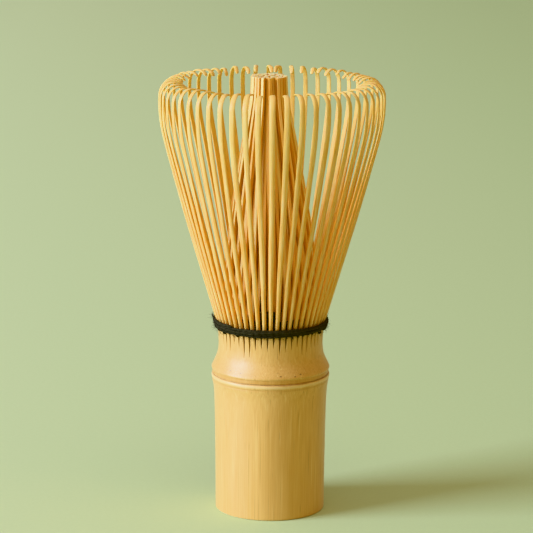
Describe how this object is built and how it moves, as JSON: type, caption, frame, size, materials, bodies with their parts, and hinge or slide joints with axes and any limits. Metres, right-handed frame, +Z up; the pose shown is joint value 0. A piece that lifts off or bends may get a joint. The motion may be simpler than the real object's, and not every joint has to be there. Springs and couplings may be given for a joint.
{
  "type": "bamboo tea whisk",
  "caption": "Whisk for powdered tea: a hollow culm handle with a node, slit above a dark thread into a flared outer row of fine curled tines round a tight inner bundle.",
  "frame": {"origin": "centre of the handle's foot, on the surface it stands on", "axes": "+Z up along the culm towards the tines, -Y towards the front, where the thread is knotted"},
  "size_m": [0.059, 0.059, 0.1155],
  "materials": {
    "bamboo_skin": "dried golden culm skin, satin",
    "outer_tine_bamboo": "shaved bamboo, satin, warm golden with orange cut sides",
    "inner_tine_bamboo": "split bamboo, satin, with tan end grain",
    "cotton_thread": "near-black spun cotton, matt and slightly fuzzy"
  },
  "bodies": {
    "handle": {"handle_culm": "bamboo_skin", "binding_thread": "cotton_thread", "inner_tines_1": "inner_tine_bamboo", "inner_tines_2": "inner_tine_bamboo", "inner_tines_3": "inner_tine_bamboo"},
    "tine_01": {"outer_tine_01": "outer_tine_bamboo"},
    "tine_02": {"outer_tine_02": "outer_tine_bamboo"},
    "tine_03": {"outer_tine_03": "outer_tine_bamboo"},
    "tine_04": {"outer_tine_04": "outer_tine_bamboo"},
    "tine_05": {"outer_tine_05": "outer_tine_bamboo"},
    "tine_06": {"outer_tine_06": "outer_tine_bamboo"},
    "tine_07": {"outer_tine_07": "outer_tine_bamboo"},
    "tine_08": {"outer_tine_08": "outer_tine_bamboo"},
    "tine_09": {"outer_tine_09": "outer_tine_bamboo"},
    "tine_10": {"outer_tine_10": "outer_tine_bamboo"},
    "tine_11": {"outer_tine_11": "outer_tine_bamboo"},
    "tine_12": {"outer_tine_12": "outer_tine_bamboo"},
    "tine_13": {"outer_tine_13": "outer_tine_bamboo"},
    "tine_14": {"outer_tine_14": "outer_tine_bamboo"},
    "tine_15": {"outer_tine_15": "outer_tine_bamboo"},
    "tine_16": {"outer_tine_16": "outer_tine_bamboo"},
    "tine_17": {"outer_tine_17": "outer_tine_bamboo"},
    "tine_18": {"outer_tine_18": "outer_tine_bamboo"},
    "tine_19": {"outer_tine_19": "outer_tine_bamboo"},
    "tine_20": {"outer_tine_20": "outer_tine_bamboo"},
    "tine_21": {"outer_tine_21": "outer_tine_bamboo"},
    "tine_22": {"outer_tine_22": "outer_tine_bamboo"},
    "tine_23": {"outer_tine_23": "outer_tine_bamboo"},
    "tine_24": {"outer_tine_24": "outer_tine_bamboo"},
    "tine_25": {"outer_tine_25": "outer_tine_bamboo"},
    "tine_26": {"outer_tine_26": "outer_tine_bamboo"},
    "tine_27": {"outer_tine_27": "outer_tine_bamboo"},
    "tine_28": {"outer_tine_28": "outer_tine_bamboo"},
    "tine_29": {"outer_tine_29": "outer_tine_bamboo"},
    "tine_30": {"outer_tine_30": "outer_tine_bamboo"},
    "tine_31": {"outer_tine_31": "outer_tine_bamboo"},
    "tine_32": {"outer_tine_32": "outer_tine_bamboo"},
    "tine_33": {"outer_tine_33": "outer_tine_bamboo"},
    "tine_34": {"outer_tine_34": "outer_tine_bamboo"},
    "tine_35": {"outer_tine_35": "outer_tine_bamboo"},
    "tine_36": {"outer_tine_36": "outer_tine_bamboo"},
    "tine_37": {"outer_tine_37": "outer_tine_bamboo"},
    "tine_38": {"outer_tine_38": "outer_tine_bamboo"},
    "tine_39": {"outer_tine_39": "outer_tine_bamboo"},
    "tine_40": {"outer_tine_40": "outer_tine_bamboo"},
    "tine_41": {"outer_tine_41": "outer_tine_bamboo"},
    "tine_42": {"outer_tine_42": "outer_tine_bamboo"},
    "tine_43": {"outer_tine_43": "outer_tine_bamboo"},
    "tine_44": {"outer_tine_44": "outer_tine_bamboo"},
    "tine_45": {"outer_tine_45": "outer_tine_bamboo"},
    "tine_46": {"outer_tine_46": "outer_tine_bamboo"},
    "tine_47": {"outer_tine_47": "outer_tine_bamboo"},
    "tine_48": {"outer_tine_48": "outer_tine_bamboo"},
    "tine_49": {"outer_tine_49": "outer_tine_bamboo"},
    "tine_50": {"outer_tine_50": "outer_tine_bamboo"},
    "tine_51": {"outer_tine_51": "outer_tine_bamboo"},
    "tine_52": {"outer_tine_52": "outer_tine_bamboo"},
    "tine_53": {"outer_tine_53": "outer_tine_bamboo"},
    "tine_54": {"outer_tine_54": "outer_tine_bamboo"}
  },
  "joints": [
    {"name": "tine_01_flex", "type": "hinge", "parent": "handle", "child": "tine_01", "pos_m": [0, -0.0143, 0.0512], "axis": [1, 0, 0], "range_deg": [-4, 6], "stiffness_Nm_per_rad": 0.02},
    {"name": "tine_02_flex", "type": "hinge", "parent": "handle", "child": "tine_02", "pos_m": [0.00166, -0.0142, 0.0512], "axis": [0.9932, 0.1161, 0], "range_deg": [-4, 6], "stiffness_Nm_per_rad": 0.02},
    {"name": "tine_03_flex", "type": "hinge", "parent": "handle", "child": "tine_03", "pos_m": [0.0033, -0.01391, 0.0512], "axis": [0.973, 0.2306, 0], "range_deg": [-4, 6], "stiffness_Nm_per_rad": 0.02},
    {"name": "tine_04_flex", "type": "hinge", "parent": "handle", "child": "tine_04", "pos_m": [0.00489, -0.01344, 0.0512], "axis": [0.9397, 0.342, 0], "range_deg": [-4, 6], "stiffness_Nm_per_rad": 0.02},
    {"name": "tine_05_flex", "type": "hinge", "parent": "handle", "child": "tine_05", "pos_m": [0.00642, -0.01278, 0.0512], "axis": [0.8936, 0.4488, 0], "range_deg": [-4, 6], "stiffness_Nm_per_rad": 0.02},
    {"name": "tine_06_flex", "type": "hinge", "parent": "handle", "child": "tine_06", "pos_m": [0.00786, -0.01195, 0.0512], "axis": [0.8355, 0.5495, 0], "range_deg": [-4, 6], "stiffness_Nm_per_rad": 0.02},
    {"name": "tine_07_flex", "type": "hinge", "parent": "handle", "child": "tine_07", "pos_m": [0.00919, -0.01095, 0.0512], "axis": [0.766, 0.6428, 0], "range_deg": [-4, 6], "stiffness_Nm_per_rad": 0.02},
    {"name": "tine_08_flex", "type": "hinge", "parent": "handle", "child": "tine_08", "pos_m": [0.0104, -0.00981, 0.0512], "axis": [0.6862, 0.7274, 0], "range_deg": [-4, 6], "stiffness_Nm_per_rad": 0.02},
    {"name": "tine_09_flex", "type": "hinge", "parent": "handle", "child": "tine_09", "pos_m": [0.01147, -0.00854, 0.0512], "axis": [0.5972, 0.8021, 0], "range_deg": [-4, 6], "stiffness_Nm_per_rad": 0.02},
    {"name": "tine_10_flex", "type": "hinge", "parent": "handle", "child": "tine_10", "pos_m": [0.01238, -0.00715, 0.0512], "axis": [0.5, 0.866, 0], "range_deg": [-4, 6], "stiffness_Nm_per_rad": 0.02},
    {"name": "tine_11_flex", "type": "hinge", "parent": "handle", "child": "tine_11", "pos_m": [0.01313, -0.00566, 0.0512], "axis": [0.3961, 0.9182, 0], "range_deg": [-4, 6], "stiffness_Nm_per_rad": 0.02},
    {"name": "tine_12_flex", "type": "hinge", "parent": "handle", "child": "tine_12", "pos_m": [0.0137, -0.0041, 0.0512], "axis": [0.2868, 0.958, 0], "range_deg": [-4, 6], "stiffness_Nm_per_rad": 0.02},
    {"name": "tine_13_flex", "type": "hinge", "parent": "handle", "child": "tine_13", "pos_m": [0.01408, -0.00248, 0.0512], "axis": [0.1736, 0.9848, 0], "range_deg": [-4, 6], "stiffness_Nm_per_rad": 0.02},
    {"name": "tine_14_flex", "type": "hinge", "parent": "handle", "child": "tine_14", "pos_m": [0.01428, -0.00083, 0.0512], "axis": [0.0581, 0.9983, 0], "range_deg": [-4, 6], "stiffness_Nm_per_rad": 0.02},
    {"name": "tine_15_flex", "type": "hinge", "parent": "handle", "child": "tine_15", "pos_m": [0.01428, 0.00083, 0.0512], "axis": [-0.0581, 0.9983, 0], "range_deg": [-4, 6], "stiffness_Nm_per_rad": 0.02},
    {"name": "tine_16_flex", "type": "hinge", "parent": "handle", "child": "tine_16", "pos_m": [0.01408, 0.00248, 0.0512], "axis": [-0.1736, 0.9848, 0], "range_deg": [-4, 6], "stiffness_Nm_per_rad": 0.02},
    {"name": "tine_17_flex", "type": "hinge", "parent": "handle", "child": "tine_17", "pos_m": [0.0137, 0.0041, 0.0512], "axis": [-0.2868, 0.958, 0], "range_deg": [-4, 6], "stiffness_Nm_per_rad": 0.02},
    {"name": "tine_18_flex", "type": "hinge", "parent": "handle", "child": "tine_18", "pos_m": [0.01313, 0.00566, 0.0512], "axis": [-0.3961, 0.9182, 0], "range_deg": [-4, 6], "stiffness_Nm_per_rad": 0.02},
    {"name": "tine_19_flex", "type": "hinge", "parent": "handle", "child": "tine_19", "pos_m": [0.01238, 0.00715, 0.0512], "axis": [-0.5, 0.866, 0], "range_deg": [-4, 6], "stiffness_Nm_per_rad": 0.02},
    {"name": "tine_20_flex", "type": "hinge", "parent": "handle", "child": "tine_20", "pos_m": [0.01147, 0.00854, 0.0512], "axis": [-0.5972, 0.8021, 0], "range_deg": [-4, 6], "stiffness_Nm_per_rad": 0.02},
    {"name": "tine_21_flex", "type": "hinge", "parent": "handle", "child": "tine_21", "pos_m": [0.0104, 0.00981, 0.0512], "axis": [-0.6862, 0.7274, 0], "range_deg": [-4, 6], "stiffness_Nm_per_rad": 0.02},
    {"name": "tine_22_flex", "type": "hinge", "parent": "handle", "child": "tine_22", "pos_m": [0.00919, 0.01095, 0.0512], "axis": [-0.766, 0.6428, 0], "range_deg": [-4, 6], "stiffness_Nm_per_rad": 0.02},
    {"name": "tine_23_flex", "type": "hinge", "parent": "handle", "child": "tine_23", "pos_m": [0.00786, 0.01195, 0.0512], "axis": [-0.8355, 0.5495, 0], "range_deg": [-4, 6], "stiffness_Nm_per_rad": 0.02},
    {"name": "tine_24_flex", "type": "hinge", "parent": "handle", "child": "tine_24", "pos_m": [0.00642, 0.01278, 0.0512], "axis": [-0.8936, 0.4488, 0], "range_deg": [-4, 6], "stiffness_Nm_per_rad": 0.02},
    {"name": "tine_25_flex", "type": "hinge", "parent": "handle", "child": "tine_25", "pos_m": [0.00489, 0.01344, 0.0512], "axis": [-0.9397, 0.342, 0], "range_deg": [-4, 6], "stiffness_Nm_per_rad": 0.02},
    {"name": "tine_26_flex", "type": "hinge", "parent": "handle", "child": "tine_26", "pos_m": [0.0033, 0.01391, 0.0512], "axis": [-0.973, 0.2306, 0], "range_deg": [-4, 6], "stiffness_Nm_per_rad": 0.02},
    {"name": "tine_27_flex", "type": "hinge", "parent": "handle", "child": "tine_27", "pos_m": [0.00166, 0.0142, 0.0512], "axis": [-0.9932, 0.1161, 0], "range_deg": [-4, 6], "stiffness_Nm_per_rad": 0.02},
    {"name": "tine_28_flex", "type": "hinge", "parent": "handle", "child": "tine_28", "pos_m": [0, 0.0143, 0.0512], "axis": [-1, 0, 0], "range_deg": [-4, 6], "stiffness_Nm_per_rad": 0.02},
    {"name": "tine_29_flex", "type": "hinge", "parent": "handle", "child": "tine_29", "pos_m": [-0.00166, 0.0142, 0.0512], "axis": [-0.9932, -0.1161, 0], "range_deg": [-4, 6], "stiffness_Nm_per_rad": 0.02},
    {"name": "tine_30_flex", "type": "hinge", "parent": "handle", "child": "tine_30", "pos_m": [-0.0033, 0.01391, 0.0512], "axis": [-0.973, -0.2306, 0], "range_deg": [-4, 6], "stiffness_Nm_per_rad": 0.02},
    {"name": "tine_31_flex", "type": "hinge", "parent": "handle", "child": "tine_31", "pos_m": [-0.00489, 0.01344, 0.0512], "axis": [-0.9397, -0.342, 0], "range_deg": [-4, 6], "stiffness_Nm_per_rad": 0.02},
    {"name": "tine_32_flex", "type": "hinge", "parent": "handle", "child": "tine_32", "pos_m": [-0.00642, 0.01278, 0.0512], "axis": [-0.8936, -0.4488, 0], "range_deg": [-4, 6], "stiffness_Nm_per_rad": 0.02},
    {"name": "tine_33_flex", "type": "hinge", "parent": "handle", "child": "tine_33", "pos_m": [-0.00786, 0.01195, 0.0512], "axis": [-0.8355, -0.5495, 0], "range_deg": [-4, 6], "stiffness_Nm_per_rad": 0.02},
    {"name": "tine_34_flex", "type": "hinge", "parent": "handle", "child": "tine_34", "pos_m": [-0.00919, 0.01095, 0.0512], "axis": [-0.766, -0.6428, 0], "range_deg": [-4, 6], "stiffness_Nm_per_rad": 0.02},
    {"name": "tine_35_flex", "type": "hinge", "parent": "handle", "child": "tine_35", "pos_m": [-0.0104, 0.00981, 0.0512], "axis": [-0.6862, -0.7274, 0], "range_deg": [-4, 6], "stiffness_Nm_per_rad": 0.02},
    {"name": "tine_36_flex", "type": "hinge", "parent": "handle", "child": "tine_36", "pos_m": [-0.01147, 0.00854, 0.0512], "axis": [-0.5972, -0.8021, 0], "range_deg": [-4, 6], "stiffness_Nm_per_rad": 0.02},
    {"name": "tine_37_flex", "type": "hinge", "parent": "handle", "child": "tine_37", "pos_m": [-0.01238, 0.00715, 0.0512], "axis": [-0.5, -0.866, 0], "range_deg": [-4, 6], "stiffness_Nm_per_rad": 0.02},
    {"name": "tine_38_flex", "type": "hinge", "parent": "handle", "child": "tine_38", "pos_m": [-0.01313, 0.00566, 0.0512], "axis": [-0.3961, -0.9182, 0], "range_deg": [-4, 6], "stiffness_Nm_per_rad": 0.02},
    {"name": "tine_39_flex", "type": "hinge", "parent": "handle", "child": "tine_39", "pos_m": [-0.0137, 0.0041, 0.0512], "axis": [-0.2868, -0.958, 0], "range_deg": [-4, 6], "stiffness_Nm_per_rad": 0.02},
    {"name": "tine_40_flex", "type": "hinge", "parent": "handle", "child": "tine_40", "pos_m": [-0.01408, 0.00248, 0.0512], "axis": [-0.1736, -0.9848, 0], "range_deg": [-4, 6], "stiffness_Nm_per_rad": 0.02},
    {"name": "tine_41_flex", "type": "hinge", "parent": "handle", "child": "tine_41", "pos_m": [-0.01428, 0.00083, 0.0512], "axis": [-0.0581, -0.9983, 0], "range_deg": [-4, 6], "stiffness_Nm_per_rad": 0.02},
    {"name": "tine_42_flex", "type": "hinge", "parent": "handle", "child": "tine_42", "pos_m": [-0.01428, -0.00083, 0.0512], "axis": [0.0581, -0.9983, 0], "range_deg": [-4, 6], "stiffness_Nm_per_rad": 0.02},
    {"name": "tine_43_flex", "type": "hinge", "parent": "handle", "child": "tine_43", "pos_m": [-0.01408, -0.00248, 0.0512], "axis": [0.1736, -0.9848, 0], "range_deg": [-4, 6], "stiffness_Nm_per_rad": 0.02},
    {"name": "tine_44_flex", "type": "hinge", "parent": "handle", "child": "tine_44", "pos_m": [-0.0137, -0.0041, 0.0512], "axis": [0.2868, -0.958, 0], "range_deg": [-4, 6], "stiffness_Nm_per_rad": 0.02},
    {"name": "tine_45_flex", "type": "hinge", "parent": "handle", "child": "tine_45", "pos_m": [-0.01313, -0.00566, 0.0512], "axis": [0.3961, -0.9182, 0], "range_deg": [-4, 6], "stiffness_Nm_per_rad": 0.02},
    {"name": "tine_46_flex", "type": "hinge", "parent": "handle", "child": "tine_46", "pos_m": [-0.01238, -0.00715, 0.0512], "axis": [0.5, -0.866, 0], "range_deg": [-4, 6], "stiffness_Nm_per_rad": 0.02},
    {"name": "tine_47_flex", "type": "hinge", "parent": "handle", "child": "tine_47", "pos_m": [-0.01147, -0.00854, 0.0512], "axis": [0.5972, -0.8021, 0], "range_deg": [-4, 6], "stiffness_Nm_per_rad": 0.02},
    {"name": "tine_48_flex", "type": "hinge", "parent": "handle", "child": "tine_48", "pos_m": [-0.0104, -0.00981, 0.0512], "axis": [0.6862, -0.7274, 0], "range_deg": [-4, 6], "stiffness_Nm_per_rad": 0.02},
    {"name": "tine_49_flex", "type": "hinge", "parent": "handle", "child": "tine_49", "pos_m": [-0.00919, -0.01095, 0.0512], "axis": [0.766, -0.6428, 0], "range_deg": [-4, 6], "stiffness_Nm_per_rad": 0.02},
    {"name": "tine_50_flex", "type": "hinge", "parent": "handle", "child": "tine_50", "pos_m": [-0.00786, -0.01195, 0.0512], "axis": [0.8355, -0.5495, 0], "range_deg": [-4, 6], "stiffness_Nm_per_rad": 0.02},
    {"name": "tine_51_flex", "type": "hinge", "parent": "handle", "child": "tine_51", "pos_m": [-0.00642, -0.01278, 0.0512], "axis": [0.8936, -0.4488, 0], "range_deg": [-4, 6], "stiffness_Nm_per_rad": 0.02},
    {"name": "tine_52_flex", "type": "hinge", "parent": "handle", "child": "tine_52", "pos_m": [-0.00489, -0.01344, 0.0512], "axis": [0.9397, -0.342, 0], "range_deg": [-4, 6], "stiffness_Nm_per_rad": 0.02},
    {"name": "tine_53_flex", "type": "hinge", "parent": "handle", "child": "tine_53", "pos_m": [-0.0033, -0.01391, 0.0512], "axis": [0.973, -0.2306, 0], "range_deg": [-4, 6], "stiffness_Nm_per_rad": 0.02},
    {"name": "tine_54_flex", "type": "hinge", "parent": "handle", "child": "tine_54", "pos_m": [-0.00166, -0.0142, 0.0512], "axis": [0.9932, -0.1161, 0], "range_deg": [-4, 6], "stiffness_Nm_per_rad": 0.02}
  ]
}
